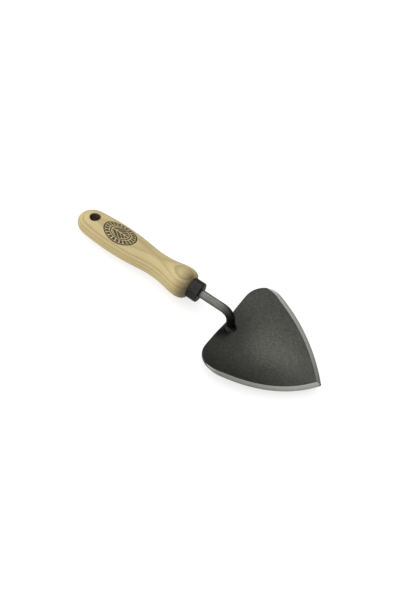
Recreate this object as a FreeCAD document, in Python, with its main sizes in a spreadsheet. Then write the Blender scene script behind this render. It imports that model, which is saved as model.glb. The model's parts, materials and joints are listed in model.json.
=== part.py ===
import FreeCAD, Part
import Sketcher
import math
import os

# A hand trowel with a dished, shield-shaped blade, a bent round shank, a capped ferrule and a
# wooden handle.  Every piece is drawn in one design frame: X runs along the handle axis from
# the butt towards the blade, Y is across the blade and Z is up.  At the end all the pieces are
# laid down together in their rest pose, on the plane Z = 0.

Vector = FreeCAD.Vector

# Driving dimensions in millimetres and degrees.  A "Station" is a distance from the butt.
DIMENSIONS = (
    ("HeelStation", 19.0, "end of the rounded butt"),
    ("HeelHalfWidth", 16.3, "handle half width at the heel"),
    ("HeelHalfHeight", 10.7, "handle half height at the heel"),
    ("PalmStation", 50.0, "widest part of the grip"),
    ("PalmHalfWidth", 17.6, "handle half width at the palm"),
    ("PalmHalfHeight", 12.2, "handle half height at the palm"),
    ("TaperStation", 73.0, "between the palm and the waist"),
    ("TaperHalfWidth", 16.0, "handle half width on the taper"),
    ("TaperHalfHeight", 11.8, "handle half height on the taper"),
    ("WaistStation", 95.0, "narrowest part of the grip"),
    ("WaistHalfWidth", 13.5, "handle half width at the waist"),
    ("WaistHalfHeight", 10.8, "handle half height at the waist"),
    ("FlareStation", 113.0, "between the waist and the bulb"),
    ("FlareHalfWidth", 14.7, "handle half width on the flare"),
    ("FlareHalfHeight", 12.3, "handle half height on the flare"),
    ("BulbStation", 129.0, "fullest part of the bulb"),
    ("BulbHalfWidth", 16.9, "handle half width at the bulb"),
    ("BulbHalfHeight", 14.6, "handle half height at the bulb"),
    ("SeatStation", 138.8, "shoulder that the ferrule butts against"),
    ("SeatRadius", 10.9, "radius of the wood at that shoulder"),
    ("HangStation", 18.1, "centre of the hanging hole"),
    ("HangRadius", 5.25, "radius of the hanging hole"),
    ("HangRounding", 0.8, "rounding of the hanging hole's rims"),
    ("FerruleRadius", 10.5, "outer radius of the ferrule"),
    ("FerruleWall", 1.2, "thickness of the ferrule's wall and front face"),
    ("FerruleLength", 11.7, "length of the ferrule"),
    ("FerruleRounding", 1.6, "rounding of the ferrule's front edge"),
    ("BarRadius", 4.3, "radius of the shank's round bar"),
    ("TangStation", 82.0, "hidden end of the tang in the handle"),
    ("TangChamfer", 1.5, "chamfer on the end of the tang"),
    ("BendStation", 176.3, "start of the bend in the shank"),
    ("BendRadius", 11.8, "centre-line radius of the bend"),
    ("BendAngle", 73.5, "turn of the shank down to the blade"),
    ("BeadHeight", 3.2, "height of the weld bead at the shank's foot"),
    ("BeadWidth", 2.7, "width of the weld bead round the shank's foot"),
    ("BeadLip", 0.4, "width of the weld bead's top"),
    ("BeadHollow", 0.7, "hollow of the weld bead's sloping face"),
    ("BladeStation", 184.0, "middle of the blade's rear edge"),
    ("BladeLength", 110.4, "middle of the rear edge to the point"),
    ("BladeDrop", 20.1, "handle axis down to the bottom of the dish"),
    ("BladeThickness", 2.3, "thickness of the blade"),
    ("SideRadius", 147.0, "plan radius of the blade's long sides"),
    ("RearRadius", 250.0, "plan radius of each half of the rear edge"),
    ("CornerRadius", 23.0, "plan radius of the blade's rear corners"),
    ("CornerStation", 206.6, "centre of a rear corner"),
    ("CornerOffset", 37.3, "centre of a rear corner from the middle line"),
    ("PointRounding", 1.5, "rounding of the blade's point"),
    ("DishStation", 220.0, "lowest part of the dish"),
    ("DishAcrossRadius", 148.0, "radius of the dish across the blade"),
    ("DishAlongRadius", 740.0, "radius of the dish along the blade"),
    ("DishAcrossSpan", 60.0, "angle of the dished plate across, before trimming"),
    ("DishAlongSpan", 16.0, "angle of the dished plate along, before trimming"),
    ("BevelWidth", 4.8, "width of the ground bevel along each side"),
    ("BevelDepth", 1.4, "depth of the bevel at the edge"),
    ("BevelStartWidth", 0.5, "width of the bevel where it starts"),
    ("BevelRunOn", 17.0, "length of bevel on the rear corner's curve"),
    ("BevelRunIn", 25.0, "length over which the bevel gains its width"),
    ("CutterProud", 1.5, "how far the bevel's cutter stands out of the plate"),
    ("RestPitch", 3.75, "slope of the handle axis when the trowel lies down"),
)

FACING_X = FreeCAD.Rotation(Vector(1, 1, 1), 120)   # turns Z to X, X to Y and Y to Z

doc = FreeCAD.newDocument("hand_trowel")
sheet = doc.addObject("Spreadsheet::Sheet", "Sizes")


def fill_sheet():
    """Write one row per driving dimension: its name, its value and what it measures."""
    for row, (alias, value, meaning) in enumerate(DIMENSIONS, start=1):
        sheet.set("A%d" % row, alias)
        sheet.set("B%d" % row, str(value))
        sheet.set("C%d" % row, meaning)
        sheet.setAlias("B%d" % row, alias)
    doc.recompute()


def size(alias):
    """The value of a driving dimension."""
    return float(sheet.get(alias))


def bind(target, formulas):
    """Tie properties of an object to formulas in the sheet's names."""
    for name, formula in formulas.items():
        target.setExpression(name, formula)


def new_sketch(body, role, name):
    """A sketch on one of the body's own origin planes."""
    plane = next(item for item in body.Origin.OriginFeatures if item.Role == role)
    sketch = body.newObject("Sketcher::SketchObject", name)
    sketch.AttachmentSupport = (plane, "")
    sketch.MapMode = "FlatFace"
    return sketch


def constrain(sketch, kind, *arguments, formula=None):
    """Add a constraint, and tie its value to the sheet when a formula is given."""
    index = sketch.addConstraint(Sketcher.Constraint(kind, *arguments))
    if formula:
        bind(sketch, {"Constraints[%d]" % index: formula})


def join_ends(sketch, joints):
    """Make end points coincide.  A joint is a curve and its end, then another curve and its end."""
    for joint in joints:
        constrain(sketch, "Coincident", *joint)


def line(start, end):
    return Part.LineSegment(Vector(start[0], start[1], 0), Vector(end[0], end[1], 0))


def arc(centre, radius, start, end):
    """A counter-clockwise arc between two directions in radians."""
    circle = Part.Circle(Vector(centre[0], centre[1], 0), Vector(0, 0, 1), radius)
    return Part.ArcOfCircle(circle, start, end)


def spaced(first, last, count):
    """Evenly spaced numbers, both ends included."""
    return [first + (last - first) * step / (count - 1) for step in range(count)]


def find_edges(shape, wanted):
    """Numbers of the edges whose bounding box is a wanted one."""
    return [number for number, edge in enumerate(shape.Edges, start=1) if wanted(edge.BoundBox)]


def edge_names(shape, wanted):
    return ["Edge%d" % number for number in find_edges(shape, wanted)]


def boolean(kind, name, base, tool):
    """A Cut, Fuse or Common of two objects."""
    result = doc.addObject("Part::" + kind, name)
    result.Base = base
    result.Tool = tool
    return result


# ---------------------------------------------------------------------------- handle

def handle_section(name, station, half_width, half_height):
    """One oval section of the handle, square to its axis."""
    oval = doc.addObject("Part::Ellipse", name)
    oval.Placement = FreeCAD.Placement(Vector(), FACING_X)
    bind(oval, {"Placement.Base.x": station, "MajorRadius": half_width, "MinorRadius": half_height})
    return oval


def handle_sections():
    """Ovals from the butt to the ferrule's seat: a round butt, the grip and a round shoulder."""
    sections = []
    for angle in (8, 24, 42, 64):
        sections.append(handle_section(
            "butt_%d" % angle,
            "Sizes.HeelStation * (1 - cos(%d))" % angle,
            "Sizes.HeelHalfWidth * sin(%d)" % angle,
            "Sizes.HeelHalfHeight * sin(%d)" % angle))
    for place in ("Heel", "Palm", "Taper", "Waist", "Flare", "Bulb"):
        sections.append(handle_section(
            place.lower(),
            "Sizes.%sStation" % place,
            "Sizes.%sHalfWidth" % place,
            "Sizes.%sHalfHeight" % place))
    for angle in (24, 48, 70, 90):
        sections.append(handle_section(
            "shoulder_%d" % angle,
            "Sizes.BulbStation + (Sizes.SeatStation - Sizes.BulbStation) * sin(%d)" % angle,
            "Sizes.SeatRadius + (Sizes.BulbHalfWidth - Sizes.SeatRadius) * cos(%d)" % angle,
            "Sizes.SeatRadius + (Sizes.BulbHalfHeight - Sizes.SeatRadius) * cos(%d)" % angle))
    return sections


def axial_cylinder(name, station, length, radius):
    """A cylinder on the handle axis."""
    cylinder = doc.addObject("Part::Cylinder", name)
    cylinder.Placement = FreeCAD.Placement(Vector(), FACING_X)
    bind(cylinder, {"Placement.Base.x": station, "Height": length, "Radius": radius})
    return cylinder


def make_hanging_drill():
    """The tool that drills the hanging hole, straight down through the butt."""
    drill = doc.addObject("Part::Cylinder", "hanging_drill")
    bind(drill, {"Placement.Base.x": "Sizes.HangStation",
                 "Placement.Base.z": "-2 * Sizes.HeelHalfHeight",
                 "Height": "4 * Sizes.HeelHalfHeight",
                 "Radius": "Sizes.HangRadius"})
    return drill


def is_hanging_rim(box):
    """True for the two edges where the hanging hole meets the surface of the handle."""
    centred = abs(box.Center.x - size("HangStation")) < 0.5 and abs(box.Center.y) < 0.5
    return centred and abs(box.XLength - 2 * size("HangRadius")) < 0.5


def make_handle():
    """Wooden handle: an oval loft with a round tenon, a bore for the tang and a hanging hole."""
    grip = doc.addObject("Part::Loft", "grip")
    grip.Sections = handle_sections()
    grip.Solid = True
    tenon = axial_cylinder(
        "tenon",
        "Sizes.SeatStation",
        "Sizes.FerruleLength - Sizes.FerruleWall",
        "Sizes.FerruleRadius - Sizes.FerruleWall")
    tang_drill = axial_cylinder(
        "tang_drill",
        "Sizes.TangStation",
        "Sizes.SeatStation + Sizes.FerruleLength - Sizes.TangStation",
        "Sizes.BarRadius")
    turned = boolean("Fuse", "turned_handle", grip, tenon)
    bored = boolean("Cut", "bored_handle", turned, tang_drill)
    drilled = boolean("Cut", "drilled_handle", bored, make_hanging_drill())
    doc.recompute()
    handle = doc.addObject("Part::Fillet", "handle")
    handle.Base = drilled
    rounding = size("HangRounding")
    rims = find_edges(drilled.Shape, is_hanging_rim)
    handle.Edges = [(number, rounding, rounding) for number in rims]
    return handle


# ---------------------------------------------------------------------------- ferrule

def make_ferrule():
    """Steel cap over the tenon, with a hole in its front face for the shank."""
    body = doc.addObject("PartDesign::Body", "ferrule")
    sketch = new_sketch(body, "XZ_Plane", "ferrule_profile")
    back = size("SeatStation")
    front = back + size("FerruleLength")
    wall = size("FerruleWall")
    outer = size("FerruleRadius")
    hole = size("BarRadius")
    corners = [(back, outer), (front, outer), (front, hole), (front - wall, hole),
               (front - wall, outer - wall), (back, outer - wall)]
    count = len(corners)
    for index in range(count):
        sketch.addGeometry(line(corners[index], corners[(index + 1) % count]))
    join_ends(sketch, [(index, 2, (index + 1) % count, 1) for index in range(count)])
    for index in range(0, count, 2):
        constrain(sketch, "Horizontal", index)
        constrain(sketch, "Vertical", index + 1)
    constrain(sketch, "DistanceX", -1, 1, 0, 1, back, formula="Sizes.SeatStation")
    constrain(sketch, "DistanceY", -1, 1, 0, 1, outer, formula="Sizes.FerruleRadius")
    constrain(sketch, "DistanceX", 0, 1, 0, 2, front - back, formula="Sizes.FerruleLength")
    constrain(sketch, "DistanceX", 2, 2, 2, 1, wall, formula="Sizes.FerruleWall")
    constrain(sketch, "DistanceY", -1, 1, 2, 1, hole, formula="Sizes.BarRadius")
    constrain(sketch, "DistanceY", 5, 1, 5, 2, wall, formula="Sizes.FerruleWall")
    turned = body.newObject("PartDesign::Revolution", "ferrule_turned")
    turned.Profile = sketch
    turned.ReferenceAxis = (sketch, ["H_Axis"])
    turned.Angle = 360
    doc.recompute()
    rounded = body.newObject("PartDesign::Fillet", "ferrule_rounded")
    rounded.Base = (turned, edge_names(
        turned.Shape, lambda box: box.XMin > front - 0.01 and box.YLength > 1.9 * outer))
    bind(rounded, {"Radius": "Sizes.FerruleRounding"})
    return body


# ---------------------------------------------------------------------------- blade

def make_dish(name, layers):
    """Doubly curved plate, larger than the blade and as thick as a number of blades.

    An arc across the blade is swept round a far longer arc along it.  The sketch's horizontal
    axis is the centre line of that longer arc, high above the blade.
    """
    body = doc.addObject("PartDesign::Body", name)
    sketch = new_sketch(body, "YZ_Plane", name + "_section")
    bind(sketch, {"AttachmentOffset.Base.y": "Sizes.DishAlongRadius - Sizes.BladeDrop",
                  "AttachmentOffset.Base.z": "Sizes.DishStation"})
    across = size("DishAcrossRadius")
    depth = size("DishAlongRadius") - across
    half_span = math.radians(size("DishAcrossSpan") / 2)
    ends = (-math.pi / 2 - half_span, -math.pi / 2 + half_span)
    surfaces = ((across, "Sizes.DishAcrossRadius"),
                (across + layers * size("BladeThickness"),
                 "(Sizes.DishAcrossRadius + %d * Sizes.BladeThickness)" % layers))
    for radius, _ in surfaces:
        sketch.addGeometry(arc((0, -depth), radius, *ends))
    for angle in ends:
        sketch.addGeometry(line(*((radius * math.cos(angle), radius * math.sin(angle) - depth)
                                  for radius, _ in surfaces)))
    join_ends(sketch, [(0, 1, 2, 1), (0, 2, 3, 1), (1, 1, 2, 2), (1, 2, 3, 2), (0, 3, 1, 3)])
    constrain(sketch, "PointOnObject", 0, 3, -2)
    constrain(sketch, "DistanceY", 0, 3, -1, 1, depth,
              formula="Sizes.DishAlongRadius - Sizes.DishAcrossRadius")
    for curve, (radius, formula) in enumerate(surfaces):
        constrain(sketch, "Radius", curve, radius, formula=formula)
        constrain(sketch, "Symmetric", curve, 1, curve, 2, -2)
        constrain(sketch, "DistanceX", curve, 1, curve, 2, 2 * radius * math.sin(half_span),
                  formula="2 * sin(Sizes.DishAcrossSpan / 2) * " + formula)
    swept = body.newObject("PartDesign::Revolution", name + "_swept")
    swept.Profile = sketch
    swept.ReferenceAxis = (sketch, ["H_Axis"])
    swept.Midplane = True
    bind(swept, {"Angle": "Sizes.DishAlongSpan"})
    return body


def corner_centre():
    """Plan centre of the blade's rear corner on the +Y side."""
    return size("CornerStation"), size("CornerOffset")


def edge_centre(end_station, radius, turn):
    """Plan centre of an arc that leaves the +Y corner at a tangent and ends on the middle line.

    Two such arcs exist; turn is +1 for the one that bulges away from the butt and -1 for the
    one that bulges towards it.
    """
    corner = corner_centre()
    inner = radius - size("CornerRadius")
    run, rise = end_station - corner[0], -corner[1]
    reach = math.hypot(run, rise)
    along = (inner ** 2 - radius ** 2 + reach ** 2) / (2 * reach)
    across = turn * math.sqrt(inner ** 2 - along ** 2)
    return (corner[0] + (along * run + across * rise) / reach,
            corner[1] + (along * rise - across * run) / reach)


def side_centre():
    """Plan centre of the long +Y side."""
    return edge_centre(size("BladeStation") + size("BladeLength"), size("SideRadius"), 1)


def rear_centre():
    """Plan centre of the +Y half of the rear edge."""
    return edge_centre(size("BladeStation"), size("RearRadius"), -1)


def edge_directions(centre, end_station):
    """Directions from an edge's centre to its end on the middle line and to the corner."""
    corner = corner_centre()
    return (math.atan2(-centre[1], end_station - centre[0]),
            math.atan2(corner[1] - centre[1], corner[0] - centre[0]))


def side_directions():
    """Directions from the side's centre to the blade's point and to the join with the corner."""
    return edge_directions(side_centre(), size("BladeStation") + size("BladeLength"))


def make_blade_prism():
    """Plan outline of the blade as a tall prism: two rear halves, two corners, two sides."""
    body = doc.addObject("PartDesign::Body", "blade_prism")
    sketch = new_sketch(body, "XY_Plane", "blade_outline")
    station = size("BladeStation")
    length = size("BladeLength")
    rear, corner, side = rear_centre(), corner_centre(), side_centre()
    middle, rear_join = edge_directions(rear, station)
    point, side_join = side_directions()
    half = (
        (rear, size("RearRadius"), rear_join, middle),
        (corner, size("CornerRadius"), side_join, rear_join),
        (side, size("SideRadius"), point, side_join),
    )
    for centre, radius, start, end in half:
        sketch.addGeometry(arc(centre, radius, start, end))
    for centre, radius, start, end in reversed(half):
        sketch.addGeometry(arc((centre[0], -centre[1]), radius, -end, -start))
    for joint in ((0, 1, 1, 2), (1, 1, 2, 2), (3, 1, 4, 2), (4, 1, 5, 2)):
        constrain(sketch, "Tangent", *joint)
    for joint in ((2, 1, 3, 2), (0, 2, 5, 1)):
        constrain(sketch, "Coincident", *joint)
    for curve, end in ((0, 2), (2, 1)):
        constrain(sketch, "PointOnObject", curve, end, -1)
    for curves, name in (((0, 5), "RearRadius"), ((1, 4), "CornerRadius"), ((2, 3), "SideRadius")):
        for curve in curves:
            constrain(sketch, "Radius", curve, size(name), formula="Sizes." + name)
    constrain(sketch, "Symmetric", 1, 3, 4, 3, -1)
    constrain(sketch, "DistanceX", -1, 1, 1, 3, corner[0], formula="Sizes.CornerStation")
    constrain(sketch, "DistanceY", -1, 1, 1, 3, corner[1], formula="Sizes.CornerOffset")
    constrain(sketch, "DistanceX", -1, 1, 0, 2, station, formula="Sizes.BladeStation")
    constrain(sketch, "DistanceX", 0, 2, 2, 1, length, formula="Sizes.BladeLength")
    prism = body.newObject("PartDesign::Pad", "outline_pad")
    prism.Profile = sketch
    prism.Midplane = True
    bind(prism, {"Length": "4 * Sizes.BladeDrop"})
    doc.recompute()
    rounded = body.newObject("PartDesign::Fillet", "point_rounded")
    rounded.Base = (prism, edge_names(prism.Shape, lambda box: box.XMin > station + length - 0.01))
    bind(rounded, {"Radius": "Sizes.PointRounding"})
    return body


def dish_height(x, y):
    """Height of the blade's upper surface at a place in plan."""
    across = size("DishAcrossRadius")
    along = size("DishAlongRadius")
    rise = across - math.sqrt(across ** 2 - y ** 2)
    arch = math.sqrt((along - rise) ** 2 - (x - size("DishStation")) ** 2)
    return along - size("BladeDrop") - arch


def rim_place(travel):
    """Point on the upper edge of the +Y rim, and the inward direction there.

    Travel is measured from the corner's join with the long side: positive towards the blade's
    point, negative back round the rear corner.
    """
    if travel >= 0:
        centre, radius = side_centre(), size("SideRadius")
    else:
        centre, radius = corner_centre(), size("CornerRadius")
    angle = side_directions()[1] - travel / radius
    inward = Vector(-math.cos(angle), -math.sin(angle), 0)
    rim = Vector(centre[0], centre[1], 0) - inward * radius
    rim.z = dish_height(rim.x, rim.y)
    return rim, inward


def bevel_width(travel):
    """Width of the bevel at one place on the rim: it swells from its start, then stays full."""
    remaining = max(0, 1 - (travel + size("BevelRunOn")) / size("BevelRunIn"))
    full = size("BevelWidth")
    return full - (full - size("BevelStartWidth")) * remaining ** 2


def bevel_section(travel):
    """Triangle that the grinder takes off the rim at one place, a little proud of the plate."""
    width = bevel_width(travel)
    proud = size("CutterProud")
    depth = size("BevelDepth") * width / size("BevelWidth")
    rim, inward = rim_place(travel)
    heel = rim + inward * width
    heel.z = dish_height(heel.x, heel.y)
    slope = (heel - rim + Vector(0, 0, depth)) / width
    above = heel + slope * proud
    below = heel - slope * (width + proud)
    outside = rim - inward * proud + Vector(0, 0, proud)
    return Part.makePolygon([above, outside, below, above])


def make_bevel_cutter():
    """Wedge along the +Y side: it starts on the rear corner and runs out past the point."""
    point, join = side_directions()
    end = (join - point) * size("SideRadius") + size("BevelWidth")
    travels = spaced(-size("BevelRunOn"), 0, 6)[:-1] + spaced(0, end, 13)
    sections = [bevel_section(travel) for travel in travels]
    cutter = doc.addObject("Part::Feature", "bevel_cutter")
    cutter.Shape = Part.makeLoft(sections, True)
    return cutter


def make_blade():
    """Dished plate trimmed to the outline, with a bevel ground along both long sides."""
    plate = boolean("Common", "blade_plate", make_dish("dish", 1), make_blade_prism())
    cutter = make_bevel_cutter()
    mirrored = doc.addObject("Part::Mirroring", "bevel_cutter_mirrored")
    mirrored.Source = cutter
    mirrored.Normal = Vector(0, 1, 0)
    ground = boolean("Cut", "blade_ground", plate, cutter)
    return boolean("Cut", "blade", ground, mirrored)


# ---------------------------------------------------------------------------- shank and weld

def bend_end():
    """Where the shank's centre line leaves the bend, in X and Z."""
    turn = math.radians(size("BendAngle"))
    radius = size("BendRadius")
    return size("BendStation") + radius * math.sin(turn), radius * (math.cos(turn) - 1)


def shank_foot():
    """Where the shank's centre line meets the upper surface of the blade, in X and Z."""
    start_x, start_z = bend_end()
    fall = math.tan(math.radians(size("BendAngle")))
    x = start_x
    for _ in range(5):
        x = start_x + (start_z - dish_height(x, 0)) / fall
    return x, dish_height(x, 0)


def make_shank_bar():
    """Round bar: the tang, the neck, the bend and a leg that runs down through the blade."""
    body = doc.addObject("PartDesign::Body", "shank_bar")
    route = new_sketch(body, "XZ_Plane", "shank_route")
    tang = size("TangStation")
    bend = size("BendStation")
    radius = size("BendRadius")
    turn = math.radians(size("BendAngle"))
    depth = size("BladeDrop") + size("BladeThickness")
    leg_start = bend_end()
    leg_end = (leg_start[0] + (depth + leg_start[1]) / math.tan(turn), -depth)
    route.addGeometry(line((tang, 0), (bend, 0)))
    route.addGeometry(arc((bend, -radius), radius, math.pi / 2 - turn, math.pi / 2))
    route.addGeometry(line(leg_start, leg_end))
    constrain(route, "Horizontal", 0)
    constrain(route, "PointOnObject", 0, 1, -1)
    constrain(route, "Tangent", 0, 2, 1, 2)
    constrain(route, "Tangent", 1, 1, 2, 1)
    constrain(route, "DistanceX", -1, 1, 0, 1, tang, formula="Sizes.TangStation")
    constrain(route, "DistanceX", -1, 1, 0, 2, bend, formula="Sizes.BendStation")
    constrain(route, "Radius", 1, radius, formula="Sizes.BendRadius")
    constrain(route, "DistanceY", 2, 2, -1, 1, depth,
              formula="Sizes.BladeDrop + Sizes.BladeThickness")
    constrain(route, "Angle", -1, 1, 2, 1, -turn, formula="-Sizes.BendAngle * 1 deg")
    section = new_sketch(body, "YZ_Plane", "shank_section")
    bind(section, {"AttachmentOffset.Base.z": "Sizes.TangStation"})
    section.addGeometry(Part.Circle(Vector(), Vector(0, 0, 1), size("BarRadius")))
    constrain(section, "Coincident", 0, 3, -1, 1)
    constrain(section, "Radius", 0, size("BarRadius"), formula="Sizes.BarRadius")
    pipe = body.newObject("PartDesign::AdditivePipe", "shank_pipe")
    pipe.Profile = section
    pipe.Spine = (route, ["Edge1", "Edge2", "Edge3"])
    doc.recompute()
    pointed = body.newObject("PartDesign::Chamfer", "tang_end")
    pointed.Base = (pipe, edge_names(pipe.Shape, lambda box: box.XMax < tang + 0.01))
    bind(pointed, {"Size": "Sizes.TangChamfer"})
    return body


def make_bead_ring():
    """Hollow-faced ring round the shank's foot, sunk a little way into the blade."""
    body = doc.addObject("PartDesign::Body", "bead_ring")
    sketch = new_sketch(body, "XZ_Plane", "bead_profile")
    sketch.AttachmentOffset = FreeCAD.Placement(Vector(*shank_foot(), 0), FreeCAD.Rotation())
    bar = size("BarRadius")
    sunk = -size("BladeThickness") / 2
    crown = Vector(bar + size("BeadLip"), size("BeadHeight"), 0)
    toe = Vector(bar + size("BeadWidth"), 0, 0)
    middle = (crown + toe) / 2
    towards_corner = (Vector(crown.x, toe.y, 0) - middle).normalize()
    hollow = middle + towards_corner * size("BeadHollow")
    corners = [toe, (toe.x, sunk), (bar / 2, sunk), (bar / 2, crown.y), crown]
    for start, end in zip(corners, corners[1:]):
        sketch.addGeometry(line(start, end))
    sketch.addGeometry(Part.Arc(crown, hollow, toe))
    ring = body.newObject("PartDesign::Revolution", "bead_turned")
    ring.Profile = sketch
    ring.ReferenceAxis = (sketch, ["V_Axis"])
    ring.Angle = 360
    return body


# ---------------------------------------------------------------------------- assembly

def check(pieces):
    """Stop if an object failed, a cut removed nothing or a piece isn't one sound solid."""
    for item in doc.Objects:
        if "Invalid" in item.State or "Error" in item.State:
            raise RuntimeError("%s failed: %s" % (item.Name, item.State))
        if item.TypeId == "Part::Cut" and item.Shape.Volume > item.Base.Shape.Volume - 1:
            raise RuntimeError("%s removed nothing" % item.Name)
    for piece in pieces:
        shape = piece.Shape
        if shape.isNull() or not shape.isValid() or len(shape.Solids) != 1:
            raise RuntimeError("%s isn't one sound solid" % piece.Label)


def rest_placement(pieces):
    """Lay the trowel down: slope the handle axis, then centre the footprint on the origin."""
    rest = FreeCAD.Placement(Vector(), FreeCAD.Rotation(Vector(0, 1, 0), -size("RestPitch")))
    whole = Part.makeCompound([piece.Shape for piece in pieces])
    whole.Placement = rest
    box = whole.optimalBoundingBox(False)
    rest.Base = Vector(-box.Center.x, -box.Center.y, -box.ZMin)
    return rest


def main():
    fill_sheet()
    handle = make_handle()
    ferrule = make_ferrule()
    blade = make_blade()
    shank_bar = make_shank_bar()
    below_surface = make_dish("below_surface", 4)
    shank = boolean("Cut", "shank", shank_bar, below_surface)
    bead_on_blade = boolean("Cut", "bead_on_blade", make_bead_ring(), below_surface)
    weld_bead = boolean("Cut", "weld_bead", bead_on_blade, shank_bar)
    pieces = (handle, ferrule, shank, weld_bead, blade)
    doc.recompute()
    check(pieces)
    rest = rest_placement(pieces)
    for piece in pieces:
        piece.Placement = rest
    doc.recompute()
    check(pieces)
    os.makedirs("parts", exist_ok=True)
    for piece in pieces:
        piece.Shape.exportStep("parts/%s.step" % piece.Label)
        print(piece.Label, "%.0f mm3" % piece.Shape.Volume)


main()
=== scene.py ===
import json
import math

import bpy
from mathutils import Matrix, Vector


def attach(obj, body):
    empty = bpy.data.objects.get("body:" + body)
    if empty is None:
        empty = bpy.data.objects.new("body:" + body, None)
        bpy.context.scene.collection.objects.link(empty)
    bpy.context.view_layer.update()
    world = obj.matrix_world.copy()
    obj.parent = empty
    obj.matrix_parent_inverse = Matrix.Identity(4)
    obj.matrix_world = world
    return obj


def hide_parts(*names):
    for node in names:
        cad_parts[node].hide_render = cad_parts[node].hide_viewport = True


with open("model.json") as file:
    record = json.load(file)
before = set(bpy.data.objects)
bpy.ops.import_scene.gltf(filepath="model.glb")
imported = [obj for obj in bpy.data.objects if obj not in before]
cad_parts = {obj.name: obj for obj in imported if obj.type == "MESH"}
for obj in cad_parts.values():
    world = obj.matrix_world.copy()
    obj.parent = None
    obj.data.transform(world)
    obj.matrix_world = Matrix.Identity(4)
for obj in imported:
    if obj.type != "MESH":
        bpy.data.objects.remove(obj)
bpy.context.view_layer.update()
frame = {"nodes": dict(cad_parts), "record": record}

# The looks of a hand trowel: pale ash handle with a burnt mark, black ferrule, drawn bar, dark
# scaled blade with ground edges.  Shader coordinates are millimetres in the tool's own frame: x
# along the handle axis from the butt, y across the blade and z out of the top of the handle.

MM = 0.001

# Places on the tool, in millimetres, as the CAD part has them.
HANG_STATION = 18.1
HANG_RADIUS = 5.25
SEAT_STATION = 138.8
FERRULE_FRONT = 150.5
BAR_RADIUS = 4.3
BEND_STATION = 176.3
BEND_RADIUS = 11.8
BEND_ANGLE = math.radians(73.5)
BEAD_HEIGHT = 3.2
BEAD_RADIUS = 7.0
BEVEL_STATION = 197.0
BEVEL_DEPTH = 1.4
POINT_STATION = 294.4
DISH_STATION = 220.0
DISH_DROP = 20.1
DISH_ACROSS = 148.0
DISH_ALONG = 740.0


def tool_frame():
    """The butt's place and the slope of the handle axis, from the hanging hole's mount."""
    mount = frame["record"]["mounts"][0]
    up = Vector(mount["axis"])
    forward = Vector((up.z, 0, -up.x))
    return Vector(mount["pos_m"]) - forward * HANG_STATION * MM, math.atan2(forward.z, forward.x)


BUTT, SLOPE = tool_frame()

# Turns millimetres in the tool's own frame into metres in the scene.
TO_SCENE = Matrix.Translation(BUTT) @ Matrix.Rotation(-SLOPE, 4, "Y") @ Matrix.Scale(MM, 4)


def dish_height(x, y):
    """Height of the blade's upper surface at a place in plan."""
    rise = DISH_ACROSS - math.sqrt(DISH_ACROSS ** 2 - y ** 2)
    arch = math.sqrt((DISH_ALONG - rise) ** 2 - (x - DISH_STATION) ** 2)
    return DISH_ALONG - DISH_DROP - arch


def shank_foot():
    """Where the shank's centre line meets the blade: a distance along the tool."""
    bend_end = BEND_STATION + BEND_RADIUS * math.sin(BEND_ANGLE)
    bend_drop = BEND_RADIUS * (math.cos(BEND_ANGLE) - 1)
    x = bend_end
    for _ in range(5):
        x = bend_end + (bend_drop - dish_height(x, 0)) / math.tan(BEND_ANGLE)
    return x


FOOT = shank_foot()


# ---------------------------------------------------------------------------- node helpers

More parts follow.
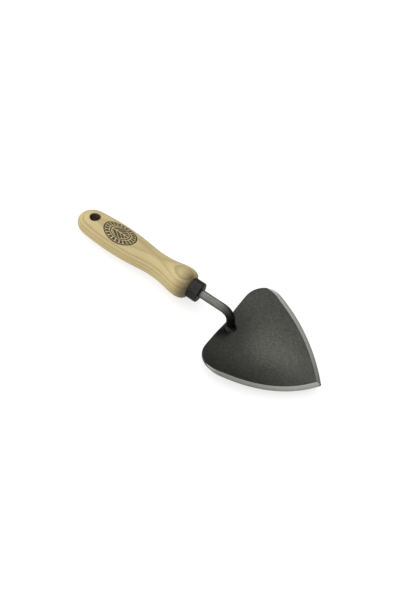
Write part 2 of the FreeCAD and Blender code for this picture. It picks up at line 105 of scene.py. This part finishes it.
class Shader:
    """A procedural material or world in the making.  Values are numbers, colours or sockets."""

    def __init__(self, owner):
        self.owner = owner
        owner.use_nodes = True
        self.tree = owner.node_tree
        self.tree.nodes.clear()

    def node(self, kind, inputs=(), **settings):
        """A node with its settings and its inputs, given as (name or index, value) pairs."""
        made = self.tree.nodes.new("ShaderNode" + kind)
        for key, value in settings.items():
            setattr(made, key, value)
        for key, value in inputs:
            self.feed(made.inputs[key], value)
        return made

    def feed(self, socket, value):
        """Link a socket into another one, or set it."""
        if isinstance(value, bpy.types.NodeSocket):
            self.tree.links.new(value, socket)
        else:
            socket.default_value = value

    def math(self, operation, *values):
        return self.node("Math", enumerate(values), operation=operation).outputs[0]

    def square(self, value):
        return self.math("MULTIPLY", value, value)

    def hypotenuse(self, first, second):
        return self.math("SQRT", self.math("ADD", self.square(first), self.square(second)))

    def tool_coordinates(self):
        """Millimetres in the tool's own frame."""
        place = self.node("TexCoord").outputs["Object"]
        mapping = self.node("Mapping", (
            ("Vector", place),
            ("Location", BUTT),
            ("Rotation", (0, -SLOPE, 0)),
            ("Scale", (MM, MM, MM)),
        ), vector_type="TEXTURE")
        return mapping.outputs[0]

    def split(self, vector):
        return self.node("SeparateXYZ", ((0, vector),)).outputs

    def join(self, x, y, z):
        return self.node("CombineXYZ", ((0, x), (1, y), (2, z))).outputs[0]

    def stretch(self, vector, scale):
        made = self.node("VectorMath", ((0, vector), (1, scale)), operation="MULTIPLY")
        return made.outputs[0]

    def distance(self, vector, place):
        made = self.node("VectorMath", ((0, vector), (1, place)), operation="DISTANCE")
        return made.outputs["Value"]

    def noise(self, vector, scale=1.0, detail=2.0, roughness=0.5):
        """Smooth noise from 0 to 1; scale is in cycles per millimetre."""
        made = self.node("TexNoise", (
            ("Vector", vector),
            ("Scale", scale),
            ("Detail", detail),
            ("Roughness", roughness),
        ))
        return made.outputs[0]

    def cells(self, vector):
        """Distance from the nearest of a scatter of points, in cells."""
        made = self.node("TexVoronoi", (("Vector", vector), ("Scale", 1.0)))
        return made.outputs["Distance"]

    def step(self, value, start, end, low=0.0, high=1.0):
        """Smooth change from low to high as value goes from start to end."""
        made = self.node("MapRange", (
            ("Value", value),
            ("From Min", start),
            ("From Max", end),
            ("To Min", low),
            ("To Max", high),
        ), interpolation_type="SMOOTHSTEP")
        return made.outputs[0]

    def mix(self, share, first, second):
        """Blend of two colours."""
        made = self.node("Mix", ((0, share), (6, colour(first)), (7, colour(second))), data_type="RGBA")
        return made.outputs[2]

    def darken(self, base, share, amount):
        """Base colour multiplied down where share is 1."""
        made = self.node("Mix", ((0, share), (6, base), (7, colour(amount))),
                         data_type="RGBA", blend_type="MULTIPLY")
        return made.outputs[2]

    def bump(self, height, distance):
        """Surface relief; height is in units of distance, and distance is in millimetres."""
        return self.node("Bump", (("Height", height), ("Distance", distance * MM))).outputs[0]

    def finish(self, **sockets):
        """The material with its surface.  An underscore in a socket's name stands for a space."""
        inputs = [(key.replace("_", " "), value) for key, value in sockets.items()]
        surface = self.node("BsdfPrincipled", inputs)
        self.node("OutputMaterial", (("Surface", surface.outputs[0]),))
        return self.owner


def new_material(name):
    return Shader(bpy.data.materials.new(name))


def colour(value):
    """A colour socket, or red, green and blue with full alpha added."""
    return value if isinstance(value, bpy.types.NodeSocket) else (*value, 1.0)


def grey(level):
    return (level, level, level)


# ---------------------------------------------------------------------------- wood

PALE_WOOD = (0.448, 0.367, 0.182)
RING_WOOD = (0.230, 0.163, 0.060)
BURNT = (0.022, 0.013, 0.008)
# Painted shade in the hanging hole.
HOLE_SHADE = (0.070, 0.035, 0.023)

# What the pale wood is multiplied by: in its fibres, clouds and pores, above the top ring, and as
# painted shade on the shoulder by the ferrule.
FIBRE_WOOD = (0.92, 0.90, 0.86)
CLOUD_WOOD = (0.94, 0.92, 0.88)
PORE_WOOD = (0.62, 0.53, 0.40)
TOP_RING_WOOD = (0.90, 0.89, 0.86)
SHOULDER_SHADE = (0.27, 0.26, 0.235)

# Growth rings' dark lines: height above the handle axis in millimetres, and strength.
RINGS = (
    (13.1, 1.0), (11.0, 0.65), (7.4, 1.0), (4.4, 1.0), (1.5, 1.0),
    (-1.5, 1.0), (-4.6, 1.0), (-7.6, 1.0), (-10.5, 1.0), (-13.4, 1.0),
)
TOP_RING = RINGS[0][0]
RINGS_SPAN = 30.0
RING_FEATHER_BELOW = 0.3
RING_FEATHER_ABOVE = 1.0

# The burnt mark on the handle's top, in millimetres: its middle and its oval border.
MARK_STATION = 50.3
MARK_OFFSET = -0.6
MARK_HALF_LENGTH = 18.4
MARK_HALF_WIDTH = 11.4

# Parts of the mark, with the oval border at 1.
TICK_COUNT = 22
TICK_BAND = (0.70, 0.93)
INNER_OVAL = 0.61
LEAF_HALF_WIDTH = 0.54
LEAF_TAPER = 1.4
VEIN_PITCH = math.tau / 24
VEIN_SLANT = 0.9


def growth_rings(shader, place):
    """0 in the pale wood between rings and 1 on a strong ring's dark line."""
    slow = shader.noise(shader.stretch(place, (0.02, 0.06, 0.06)), detail=1.0)
    fibre = shader.noise(shader.stretch(place, (0.03, 0.5, 0.5)), detail=2.0)
    wander = shader.math("MULTIPLY_ADD", fibre, 0.6, shader.math("SUBTRACT", slow, 0.8))
    height = shader.math("ADD", shader.split(place)[2], wander)
    stops = []
    for line, strength in sorted(RINGS):
        stops += [(line - RING_FEATHER_BELOW, 0.0), (line, strength), (line + RING_FEATHER_ABOVE, 0.0)]
    share = shader.math("MULTIPLY_ADD", height, 1 / RINGS_SPAN, 0.5)
    ramp = shader.node("ValToRGB", ((0, share),))
    elements = ramp.color_ramp.elements
    while len(elements) < len(stops):
        elements.new(0.5)
    for element, (at, dark) in zip(elements, stops):
        element.position = at / RINGS_SPAN + 0.5
        element.color = colour(grey(dark))
    return ramp.outputs[0]


def oval_line(shader, radius, at, half):
    """1 on a line that follows the mark's border, at a share of its size."""
    off = shader.math("ABSOLUTE", shader.math("SUBTRACT", radius, at))
    return shader.step(off, half, half + 0.015, 1, 0)


def mark_ticks(shader, u, v, radius):
    """1 on a ring of short spokes inside the mark's border."""
    turns = shader.math("MULTIPLY", shader.math("ARCTAN2", v, u), TICK_COUNT)
    spokes = shader.step(shader.math("SINE", turns), -0.7, -0.5)
    low, high = TICK_BAND
    off = shader.math("ABSOLUTE", shader.math("SUBTRACT", radius, (low + high) / 2))
    half = (high - low) / 2
    return shader.math("MULTIPLY", spokes, shader.step(off, half - 0.01, half + 0.01, 1, 0))


def mark_leaf(shader, u, v):
    """1 on a leaf along the mark, with a pale midrib and slanting pale veins."""
    across = shader.math("ABSOLUTE", v)
    edge = shader.math("MULTIPLY_ADD", shader.square(u), -LEAF_TAPER, LEAF_HALF_WIDTH)
    leaf = shader.step(shader.math("SUBTRACT", edge, across), -0.01, 0.02)
    veins = shader.math("MULTIPLY_ADD", across, -VEIN_SLANT, u)
    veins = shader.math("SINE", shader.math("MULTIPLY", veins, math.tau / VEIN_PITCH))
    leaf = shader.math("MULTIPLY", leaf, shader.step(veins, -0.9, -0.7))
    return shader.math("MULTIPLY", leaf, shader.step(across, 0.025, 0.05))


def burnt_mark(shader, place):
    """A generic stamped ornament, 1 where burnt: an oval border, a ring of ticks and a leaf."""
    x, y, z = shader.split(place)
    u = shader.math("DIVIDE", shader.math("SUBTRACT", x, MARK_STATION), MARK_HALF_LENGTH)
    v = shader.math("DIVIDE", shader.math("SUBTRACT", y, MARK_OFFSET), MARK_HALF_WIDTH)
    radius = shader.hypotenuse(u, v)
    border = oval_line(shader, radius, 1.0, 0.035)
    inner = oval_line(shader, radius, INNER_OVAL, 0.030)
    mark = shader.math("MAXIMUM", border, inner)
    mark = shader.math("MAXIMUM", mark, mark_ticks(shader, u, v, radius))
    mark = shader.math("MAXIMUM", mark, mark_leaf(shader, u, v))
    patchy = shader.noise(place, scale=0.9, detail=3.0)
    mark = shader.math("MULTIPLY", mark, shader.step(patchy, 0.25, 0.45, 0.7, 1))
    return shader.math("MULTIPLY", mark, shader.step(z, 0, 1))


def hole_shade_mask(shader, x, y):
    """Painted shade: 1 in the hanging hole and on its rims."""
    from_hole = shader.hypotenuse(shader.math("SUBTRACT", x, HANG_STATION), y)
    return shader.step(from_hole, HANG_RADIUS + 0.15, HANG_RADIUS + 0.9, 1, 0)


def painted_shoulder_shade(shader, cloud, x, y):
    """Painted shade: 1 at the shoulder by the ferrule, fading along the handle and towards its far
    side.
    """
    ragged = shader.math("MULTIPLY_ADD", cloud, 6.0, x)
    shaded = shader.step(ragged, SEAT_STATION - 13.0, SEAT_STATION + 3.5)
    return shader.math("MULTIPLY", shaded, shader.step(y, -1.0, 7.0, 1, 0.3))


def wood_material():
    """Oiled ash: ring lines, fibres, open pores, a burnt mark, and painted shade on the shoulder by the
    ferrule and in the drilled hole.
    """
    shader = new_material("ash_wood")
    place = shader.tool_coordinates()
    x, y, z = shader.split(place)
    rings = growth_rings(shader, place)
    fibres = shader.noise(shader.stretch(place, (0.06, 2.2, 2.2)), detail=4.0, roughness=0.6)
    cloud = shader.noise(shader.stretch(place, (0.03, 0.09, 0.09)), detail=2.0)
    pores = shader.step(shader.cells(shader.stretch(place, (0.22, 1.9, 1.9))), 0.12, 0.26, 1, 0)
    pores = shader.math("MULTIPLY", pores, shader.step(rings, 0.1, 0.7, 0.12, 0.9))
    mark = burnt_mark(shader, place)

    base = shader.mix(shader.math("MULTIPLY", rings, 0.62), PALE_WOOD, RING_WOOD)
    base = shader.darken(base, shader.step(z, TOP_RING, TOP_RING + 1), TOP_RING_WOOD)
    base = shader.darken(base, shader.step(fibres, 0.35, 0.7), FIBRE_WOOD)
    base = shader.darken(base, shader.step(cloud, 0.35, 0.7), CLOUD_WOOD)
    base = shader.darken(base, pores, PORE_WOOD)
    # Painted shade on the shoulder by the ferrule darkens the wood there.
    base = shader.darken(base, painted_shoulder_shade(shader, cloud, x, y), SHOULDER_SHADE)
    base = shader.mix(shader.math("MULTIPLY", mark, 0.95), base, BURNT)
    # Painted shade in the hanging hole and on its rims.
    base = shader.mix(shader.math("MULTIPLY", hole_shade_mask(shader, x, y), 0.95), base, HOLE_SHADE)

    relief = shader.math("MULTIPLY", fibres, 0.25)
    relief = shader.math("MULTIPLY_ADD", pores, -0.5, relief)
    relief = shader.math("MULTIPLY_ADD", mark, -1.6, relief)
    roughness = shader.math("MULTIPLY_ADD", fibres, 0.16, 0.44)
    roughness = shader.math("MULTIPLY_ADD", mark, 0.25, roughness)
    return shader.finish(
        Base_Color=base,
        Roughness=roughness,
        Normal=shader.bump(relief, 0.12),
        Specular_IOR_Level=0.35,
    )


# ---------------------------------------------------------------------------- metals

# Each finish goes between a dark and a light colour.
BLACKING = (0.018, 0.0184, 0.0173), (0.032, 0.0325, 0.0303)
WORN_BLACKING = (0.07, 0.07, 0.067)
DRAWN_STEEL = (0.090, 0.090, 0.082), (0.212, 0.212, 0.196)
HEAT_SCALE = (0.023, 0.023, 0.021)
FORGE_SCALE = (0.032, 0.033, 0.0285), (0.052, 0.053, 0.0455)
# Painted sheen on the blade's middle, where the soft light's reflection falls.
SHEEN_SCALE = (0.054, 0.055, 0.047), (0.078, 0.079, 0.069)
GROUND_STEEL = (0.243, 0.243, 0.224), (0.358, 0.358, 0.331)
WELD_SCALE = (0.012, 0.012, 0.011), (0.030, 0.030, 0.027)

# The painted shade round the weld and the painted sheen on the blade's middle: their middles, and
# the distances where they start to fade and are gone.
WELD_SHADE_CENTRE = (FOOT, 0, -DISH_DROP)
WELD_SHADE_FADE = (8.0, 40.0)
SHEEN_CENTRE = (238.0, 12.0, -DISH_DROP)
SHEEN_FADE = (4.0, 40.0)

# Stations between which the ground steel gets brighter towards the point.
FRESH_STATIONS = (225.0, 280.0)


def ferrule_material():
    """Blackened steel with a satin finish, a little worn on its front edge."""
    shader = new_material("blackened_steel")
    place = shader.tool_coordinates()
    x = shader.split(place)[0]
    grain = shader.noise(place, scale=2.5, detail=3.0)
    smears = shader.noise(shader.stretch(place, (0.15, 0.6, 0.6)), detail=3.0)
    near_edge = shader.step(x, FERRULE_FRONT - 1.6, FERRULE_FRONT - 0.2)
    wear = shader.math("MULTIPLY", near_edge, shader.step(smears, 0.55, 0.70))
    base = shader.mix(shader.step(smears, 0.3, 0.7), *BLACKING)
    base = shader.mix(shader.math("MULTIPLY", wear, 0.25), base, WORN_BLACKING)
    return shader.finish(
        Base_Color=base,
        Roughness=shader.math("MULTIPLY_ADD", smears, 0.22, 0.36),
        Metallic=0.75,
        Normal=shader.bump(grain, 0.03),
        Specular_IOR_Level=0.13,
        Specular_Tint=colour(grey(0.6)),
    )


def straightened(shader, place):
    """Coordinates along, across and above the shank as if its bend were unrolled."""
    x, _, z = shader.split(place)
    angle = shader.math("ARCTAN2", shader.math("SUBTRACT", x, BEND_STATION),
                        shader.math("ADD", z, BEND_RADIUS))
    angle = shader.math("MINIMUM", shader.math("MAXIMUM", angle, 0), BEND_ANGLE)
    turned = shader.node("VectorRotate", (
        ("Vector", place),
        ("Center", (BEND_STATION, 0, -BEND_RADIUS)),
        ("Angle", shader.math("MULTIPLY", angle, -1)),
    ), rotation_type="Y_AXIS").outputs[0]
    along, across, above = shader.split(turned)
    along = shader.math("MULTIPLY_ADD", angle, BEND_RADIUS, along)
    return shader.join(along, across, above), along


def shank_material():
    """Drawn steel bar: lengthwise streaks, darker heat scale towards the weld."""
    shader = new_material("drawn_steel")
    place, along = straightened(shader, shader.tool_coordinates())
    streaks = shader.noise(shader.stretch(place, (0.07, 2.4, 2.4)), detail=4.0, roughness=0.65)
    broad = shader.noise(shader.stretch(place, (0.05, 0.5, 0.5)), detail=2.0)
    mottle = shader.noise(place, scale=0.8, detail=3.0)
    ragged = shader.math("MULTIPLY_ADD", mottle, 8.0, along)
    heat = shader.step(ragged, BEND_STATION - 7.0, BEND_STATION + 17.0)
    base = shader.mix(shader.step(streaks, 0.3, 0.7), *DRAWN_STEEL)
    base = shader.darken(base, shader.step(broad, 0.35, 0.65), grey(0.80))
    base = shader.mix(heat, base, HEAT_SCALE)
    relief = shader.math("MULTIPLY_ADD", mottle, shader.math("MULTIPLY", heat, 0.8), streaks)
    return shader.finish(
        Base_Color=base,
        Metallic=0.9,
        Specular_Tint=colour(grey(0.2)),
        Roughness=shader.math("MULTIPLY_ADD", streaks, 0.2, 0.30),
        Normal=shader.bump(relief, 0.05),
    )


def dish_depth(shader, place):
    """Depth below the dished upper surface of the blade."""
    x, y, z = shader.split(place)
    sag = shader.math("SQRT", shader.math("SUBTRACT", DISH_ACROSS ** 2, shader.square(y)))
    radius = shader.math("ADD", sag, DISH_ALONG - DISH_ACROSS)
    run = shader.math("SUBTRACT", x, DISH_STATION)
    arch = shader.math("SUBTRACT", shader.square(radius), shader.square(run))
    surface = shader.math("SUBTRACT", DISH_ALONG - DISH_DROP, shader.math("SQRT", arch))
    return shader.math("SUBTRACT", surface, z)


def ground_mask(shader, x, depth):
    """1 on the ground bevels and the edges under them, but not on the blunt point."""
    facing = shader.split(shader.node("NewGeometry").outputs["True Normal"])[2]
    bevel = shader.step(facing, 0.3, 0.5)
    beside_bevel = shader.step(x, BEVEL_STATION, BEVEL_STATION + 6)
    ground = shader.math("MULTIPLY", shader.step(depth, 0.03, 0.09), shader.step(facing, -0.4, -0.2))
    ground = shader.math("MULTIPLY", ground, shader.math("MAXIMUM", bevel, beside_bevel))
    short_of_point = shader.step(x, POINT_STATION - 2.2, POINT_STATION - 0.8, 1, 0)
    return shader.math("MULTIPLY", ground, short_of_point)


def scale_colour(shader, place, mottle, speckle):
    """Mottled dark scale, with painted shade round the weld and a painted sheen on the blade's middle.
    """
    clouds = shader.noise(place, scale=0.035, detail=2.0)
    scale = shader.mix(shader.step(mottle, 0.3, 0.7), *FORGE_SCALE)
    scale = shader.darken(scale, shader.step(speckle, 0.4, 0.7), grey(0.80))
    scale = shader.darken(scale, shader.step(clouds, 0.35, 0.65), grey(0.90))
    wander = shader.math("MULTIPLY_ADD", clouds, 16.0, -8.0)
    from_weld = shader.math("ADD", shader.distance(place, WELD_SHADE_CENTRE), wander)
    from_sheen = shader.math("ADD", shader.distance(place, SHEEN_CENTRE), wander)
    # Painted shade on the blade round the weld.
    scale = shader.darken(scale, shader.step(from_weld, *WELD_SHADE_FADE, 1, 0), grey(0.49))
    # Painted sheen: brighter scale where the soft light's reflection falls.
    painted_sheen = shader.mix(shader.step(mottle, 0.35, 0.65), *SHEEN_SCALE)
    return shader.mix(shader.step(from_sheen, *SHEEN_FADE, 0.45, 0), scale, painted_sheen)


def ground_colour(shader, place, x, depth):
    """Bright scratched steel, duller on the outer strip of the bevel and away from the point."""
    scratches = shader.noise(shader.stretch(place, (0.9, 3.0, 0.9)), detail=3.0)
    bright = shader.mix(shader.step(scratches, 0.3, 0.7), *GROUND_STEEL)
    outer = shader.step(depth, 0.4 * BEVEL_DEPTH, 0.8 * BEVEL_DEPTH)
    bright = shader.darken(bright, outer, grey(0.80))
    return shader.darken(bright, shader.step(x, *FRESH_STATIONS, 1, 0), grey(0.78))


def blade_material():
    """Forged plate under dark scale, with bright ground bevels."""
    shader = new_material("forged_steel")
    place = shader.tool_coordinates()
    x = shader.split(place)[0]
    depth = dish_depth(shader, place)
    ground = ground_mask(shader, x, depth)
    mottle = shader.noise(place, scale=0.45, detail=5.0, roughness=0.6)
    speckle = shader.noise(place, scale=1.6, detail=3.0, roughness=0.6)
    scale = scale_colour(shader, place, mottle, speckle)
    bright = ground_colour(shader, place, x, depth)
    roughness = shader.math("MULTIPLY_ADD", mottle, 0.12, 0.32)
    roughness = shader.math("MULTIPLY_ADD", ground, -0.08, roughness)
    relief = shader.math("MULTIPLY_ADD", speckle, 0.5, mottle)
    relief = shader.math("MULTIPLY", relief, shader.math("MULTIPLY_ADD", ground, -0.8, 1.0))
    return shader.finish(
        Base_Color=shader.mix(ground, scale, bright),
        Metallic=0.85,
        Roughness=roughness,
        Normal=shader.bump(relief, 0.10),
    )


def weld_material():
    """Dark scaled weld metal."""
    shader = new_material("weld_metal")
    lumps = shader.noise(shader.tool_coordinates(), scale=0.9, detail=3.0)
    return shader.finish(
        Base_Color=shader.mix(shader.step(lumps, 0.35, 0.7), *WELD_SCALE),
        Metallic=0.7,
        Roughness=shader.math("MULTIPLY_ADD", lumps, 0.3, 0.30),
        Normal=shader.bump(lumps, 0.25),
    )


def dress(node, material):
    """Give a CAD node its finish."""
    for slot in frame["nodes"][node].material_slots:
        slot.material = material


# ---------------------------------------------------------------------------- weld

# Fineness of the fillet's mesh, round the bar and across the fillet.
WELD_ROUNDS = 240
WELD_STEPS = 14

# The fillet's shape: its inner edge inside the bar, its toe's mean radius and how deep that is
# sunk in the blade, the hollow of its slope, and its crescents' number, height and bow.
WELD_INNER = BAR_RADIUS - 0.3
WELD_OUTER = BEAD_RADIUS - 0.4
WELD_SUNK = 0.2
WELD_HOLLOW = 1.4
WELD_CRESCENTS = 19
WELD_RIPPLE = 0.09
WELD_BOW = 8.0


def add_mesh(name, corners, faces):
    """A new object from its corners and faces."""
    mesh = bpy.data.meshes.new(name)
    mesh.from_pydata(corners, [], faces)
    made = bpy.data.objects.new(name, mesh)
    bpy.context.scene.collection.objects.link(made)
    return made


def weld_section(angle):
    """One section of the fillet, from the bar down to its toe and back inside the blade."""
    across, along = math.sin(angle), math.cos(angle)
    toe = WELD_OUTER + 0.25 * math.sin(3 * angle + 1) + 0.12 * math.sin(7 * angle)
    phase = WELD_CRESCENTS * angle + 0.9 * math.sin(2 * angle + 0.6) + 0.6 * math.sin(5 * angle)
    corners = []
    for step in range(WELD_STEPS + 1):
        share = step / WELD_STEPS
        ripple = math.sin(phase + WELD_BOW * (share - 0.5) ** 2) * math.sin(math.pi * share)
        height = BEAD_HEIGHT * (1 - share) ** WELD_HOLLOW + WELD_RIPPLE * ripple - WELD_SUNK * share
        radius = WELD_INNER + (toe - WELD_INNER) * share
        x = FOOT - max(height, 0) / math.tan(BEND_ANGLE) + radius * along
        y = radius * across
        corners.append((x, y, dish_height(x, y) + height))
    corners.append((FOOT + WELD_INNER * along, WELD_INNER * across, -DISH_DROP - 1))
    return corners


def make_weld():
    """Fillet weld round the shank's foot, laid down in overlapping crescents."""
    corners = []
    for turn in range(WELD_ROUNDS):
        corners += weld_section(math.tau * turn / WELD_ROUNDS)
    ring = WELD_STEPS + 2
    faces = []
    for turn in range(WELD_ROUNDS):
        here, after = turn * ring, (turn + 1) % WELD_ROUNDS * ring
        for step in range(ring):
            further = (step + 1) % ring
            faces.append((here + step, here + further, after + further, after + step))
    fillet = add_mesh("weld_fillet", [TO_SCENE @ Vector(corner) for corner in corners], faces)
    fillet.data.shade_smooth()
    fillet.data.materials.append(weld_material())
    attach(fillet, "root")
    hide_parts("weld_bead")


# ---------------------------------------------------------------------------- studio

def paper_material():
    """Plain pale paper, lit from below as well, so that shadows on it stay faint."""
    return new_material("paper").finish(
        Base_Color=(0.36, 0.36, 0.358, 1),
        Roughness=0.9,
        Specular_IOR_Level=0.1,
        Emission_Color=(1, 1, 1, 1),
        Emission_Strength=0.68,
    )


def make_floor():
    """Plain pale floor just under the tool."""
    reach = 6.0
    corners = [(x * reach, y * reach, 0) for x, y in ((-1, -1), (1, -1), (1, 1), (-1, 1))]
    floor = add_mesh("floor", corners, [(0, 1, 2, 3)])
    floor.location.z = -0.05 * MM
    floor.data.materials.append(paper_material())


def direction(azimuth, elevation):
    """Unit vector from the tool; azimuth is counter-clockwise from +X, in degrees."""
    azimuth, elevation = math.radians(azimuth), math.radians(elevation)
    return Vector((math.cos(azimuth) * math.cos(elevation),
                   math.sin(azimuth) * math.cos(elevation),
                   math.sin(elevation)))


def make_softbox(azimuth, elevation, distance, side, power):
    """Square area light aimed at the tool."""
    light = bpy.data.lights.new("key", "AREA")
    light.shape = "SQUARE"
    light.size = side
    light.energy = power
    box = bpy.data.objects.new("key", light)
    away = direction(azimuth, elevation)
    box.location = away * distance
    box.rotation_euler = away.to_track_quat("Z", "Y").to_euler()
    bpy.context.scene.collection.objects.link(box)


def make_world(azimuth, elevation, high):
    """Wide soft light, brightest towards one side of the sky, behind a plain white backdrop."""
    dark_side, bright_side = -0.3, 0.9
    shader = Shader(bpy.data.worlds.new("studio"))
    towards = shader.node("VectorMath", (
        (0, shader.node("TexCoord").outputs["Generated"]),
        (1, direction(azimuth, elevation)),
    ), operation="DOT_PRODUCT").outputs["Value"]
    strength = shader.node("Mix", (
        ("Factor", shader.node("LightPath").outputs["Is Camera Ray"]),
        ("A", shader.step(towards, dark_side, bright_side, 0.0, high)),
        ("B", 1.0),
    )).outputs["Result"]
    background = shader.node("Background", (("Color", (1, 1, 1, 1)), ("Strength", strength)))
    shader.node("OutputWorld", (("Surface", background.outputs[0]),))
    bpy.context.scene.world = shader.owner


def make_camera(azimuth, elevation, roll, distance, target, lens):
    """Camera looking down on the tool from its open side, rolled as the tool lies in view."""
    camera = bpy.data.objects.new("camera", bpy.data.cameras.new("camera"))
    bpy.context.scene.collection.objects.link(camera)
    bpy.context.scene.camera = camera
    camera.data.lens = lens
    back = direction(azimuth, elevation)
    right = Vector((0, 0, 1)).cross(back).normalized()
    upright = Matrix((right, back.cross(right), back)).transposed()
    turned = upright @ Matrix.Rotation(math.radians(roll), 3, "Z")
    camera.matrix_world = Matrix.LocRotScale(Vector(target) + back * distance, turned, None)


def main():
    dress("handle", wood_material())
    dress("ferrule", ferrule_material())
    dress("shank", shank_material())
    make_weld()
    dress("blade", blade_material())
    make_floor()
    make_softbox(azimuth=114, elevation=52, distance=1.4, side=0.5, power=2.5)
    make_world(azimuth=212, elevation=48, high=1.79)
    make_camera(azimuth=-75.16, elevation=53.54, roll=23.57, distance=0.62938,
                target=(0.00273, 0.00666, 0), lens=37.5)
    bpy.context.scene.view_settings.view_transform = "Standard"


main()
